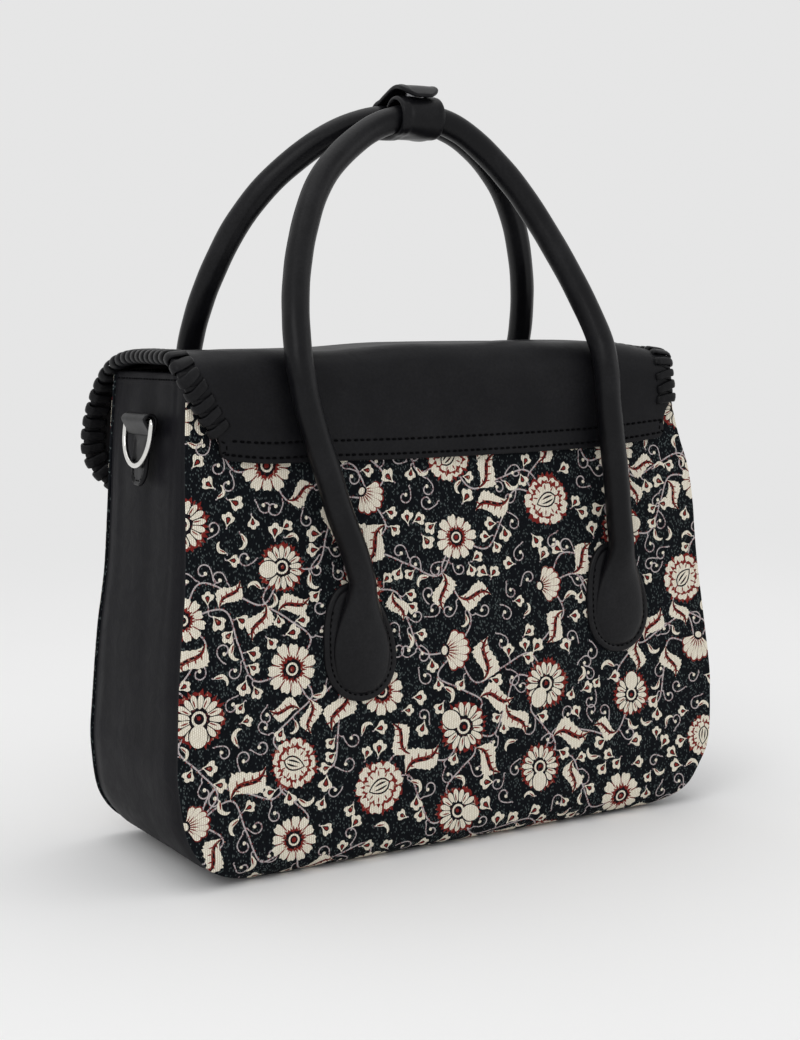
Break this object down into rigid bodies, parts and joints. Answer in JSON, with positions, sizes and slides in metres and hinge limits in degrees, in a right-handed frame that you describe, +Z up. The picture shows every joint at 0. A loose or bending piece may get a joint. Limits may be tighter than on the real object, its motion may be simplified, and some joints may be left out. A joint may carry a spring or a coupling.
{
  "type": "satchel",
  "caption": "Structured hand satchel with woven floral panels, leather sides, a flap with a laced edge, rolled handles joined by a keeper strap, and a ring on each side.",
  "frame": {"origin": "centre of the base, on the surface that the bag stands on", "axes": "+Z up, +X across the bag's width to the right as seen from the back, -Y out of the back panel that the flap is sewn to and that the picture shows, +Y out of the front that the flap closes over"},
  "size_m": [0.32, 0.1566, 0.4006],
  "materials": {
    "leather": "satin",
    "tapestry": "matte",
    "lining_cloth": "matte",
    "board": "matte",
    "snap_metal": "satin",
    "nickel": "polished"
  },
  "bodies": {
    "bag": {"back_panel": "tapestry", "front_panel": "tapestry", "gusset_left": "leather", "gusset_right": "leather", "base_panel": "leather", "base_board": "board", "lining": "lining_cloth", "flap_outer": "leather", "flap_facing": "leather", "edge_lace": "leather", "magnet_socket": "snap_metal", "magnet_stud": "snap_metal", "handle_back": "leather", "handle_front": "leather", "keeper_strap": "leather", "keeper_snap_socket": "snap_metal", "keeper_snap_stud": "snap_metal", "dring_tab_left": "leather", "dring_tab_right": "leather"},
    "ring_left": {"dring_left": "nickel"},
    "ring_right": {"dring_right": "nickel"}
  },
  "joints": [
    {"name": "ring_left_swing", "type": "hinge", "parent": "bag", "child": "ring_left", "pos_m": [-0.15317, -0.005, 0.22962], "axis": [0, 1, 0], "range_deg": [0, 150]},
    {"name": "ring_right_swing", "type": "hinge", "parent": "bag", "child": "ring_right", "pos_m": [0.15317, -0.005, 0.22962], "axis": [0, -1, 0], "range_deg": [0, 150]}
  ]
}
